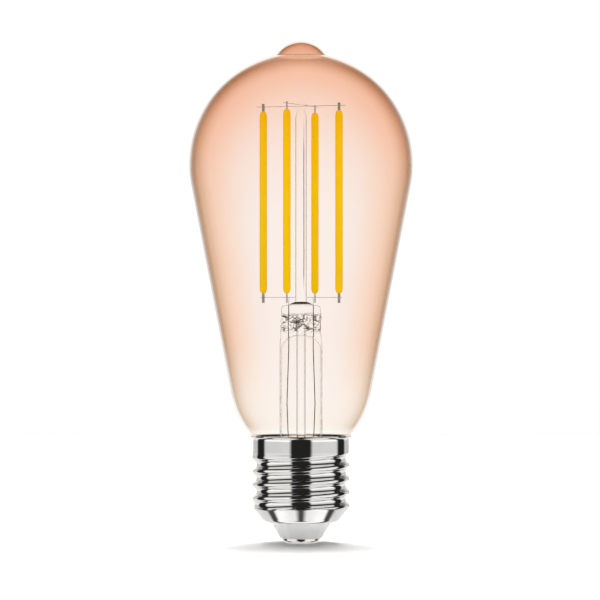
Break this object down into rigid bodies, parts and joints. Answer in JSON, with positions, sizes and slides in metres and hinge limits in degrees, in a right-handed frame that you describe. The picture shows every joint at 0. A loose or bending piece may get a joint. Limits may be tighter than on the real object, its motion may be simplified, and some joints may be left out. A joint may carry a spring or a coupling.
{
  "type": "filament light bulb",
  "caption": "Dimmable LED filament lamp: amber squirrel-cage glass bulb with a nipple, glass stem, upright yellow filaments, and a nickel-plated E27 screw cap.",
  "frame": {"origin": "middle of the centre contact's underside, where the lamp touches the lampholder's contact", "axes": "+Z along the lamp's axis from the cap to the glass nipple, +X to the right of the front, -Y the front"},
  "size_m": [0.06, 0.06, 0.1348],
  "materials": {
    "nickel_plate": "bright nickel plating on rolled and drawn metal, mirror gloss",
    "contact_metal": "bright nickel-plated contact, fine scuffs on the face that the holder touches",
    "insulator_resin": "moulded pale grey insulating resin, satin gloss",
    "cement": "baked basing cement, chalky and matte",
    "amber_glass": "blown soda-lime glass with an amber tint that is deeper towards the top, high gloss",
    "clear_glass": "clear drawn and pressed lead-free glass, fire-polished",
    "nickel_wire": "drawn nickel wire, soft metallic sheen",
    "copper_wire": "drawn copper-clad wire, slightly dulled",
    "phosphor_silicone": "yellow silicone loaded with phosphor, soft satin",
    "ceramic": "pressed white alumina, matte",
    "light_chip": "polished semiconductor chips with gold pads",
    "tab_metal": "stamped plated steel tabs, satin",
    "board_laminate": "green solder mask over glass-epoxy laminate, satin gloss",
    "can_aluminium": "drawn aluminium can, satin",
    "capacitor_film": "dark heat-shrunk film sleeve, glossy",
    "black_rubber": "moulded rubber seal, matte",
    "ferrite": "sintered ferrite, dark and finely granular",
    "enamelled_copper": "enamelled copper winding, glossy",
    "chip_epoxy": "moulded black epoxy, matte",
    "tinned_metal": "tinned leads and solder, satin",
    "resistor_body": "glass-coated chip resistors and capacitors",
    "fuse_ceramic": "lacquered ceramic resistor body, beige",
    "wire_insulation": "red silicone wire insulation, satin",
    "sleeve_film": "thin off-white insulating film"
  },
  "bodies": {
    "root": {"centre_contact": "contact_metal", "insulator": "insulator_resin", "screw_shell": "nickel_plate", "basing_cement": "cement", "glass_bulb": "amber_glass", "stem_flare": "clear_glass", "exhaust_tube": "clear_glass", "stem_rod": "clear_glass", "outer_lead_left": "copper_wire", "seal_wire_left": "copper_wire", "inner_lead_left": "nickel_wire", "outer_lead_right": "copper_wire", "seal_wire_right": "copper_wire", "inner_lead_right": "nickel_wire", "bottom_wire_left": "nickel_wire", "bottom_wire_right": "nickel_wire", "top_wire_front": "nickel_wire", "top_wire_side": "nickel_wire", "filament_1_phosphor": "phosphor_silicone", "filament_1_substrate": "ceramic", "filament_1_chips": "light_chip", "filament_1_tabs": "tab_metal", "filament_2_phosphor": "phosphor_silicone", "filament_2_substrate": "ceramic", "filament_2_chips": "light_chip", "filament_2_tabs": "tab_metal", "filament_3_phosphor": "phosphor_silicone", "filament_3_substrate": "ceramic", "filament_3_chips": "light_chip", "filament_3_tabs": "tab_metal", "filament_4_phosphor": "phosphor_silicone", "filament_4_substrate": "ceramic", "filament_4_chips": "light_chip", "filament_4_tabs": "tab_metal", "driver_board": "board_laminate", "capacitor_can": "can_aluminium", "capacitor_sleeve": "capacitor_film", "capacitor_bung": "black_rubber", "capacitor_leads": "tinned_metal", "choke_core": "ferrite", "choke_winding": "enamelled_copper", "choke_leads": "tinned_metal", "bridge_rectifier": "chip_epoxy", "dimmer_chip": "chip_epoxy", "switch_transistor": "chip_epoxy", "chip_legs": "tinned_metal", "chip_resistors": "resistor_body", "fuse_resistor": "fuse_ceramic", "solder_joints": "tinned_metal", "live_wire": "wire_insulation", "fuse_lead": "tinned_metal", "neutral_wire": "tinned_metal", "driver_sleeve": "sleeve_film"}
  },
  "joints": []
}
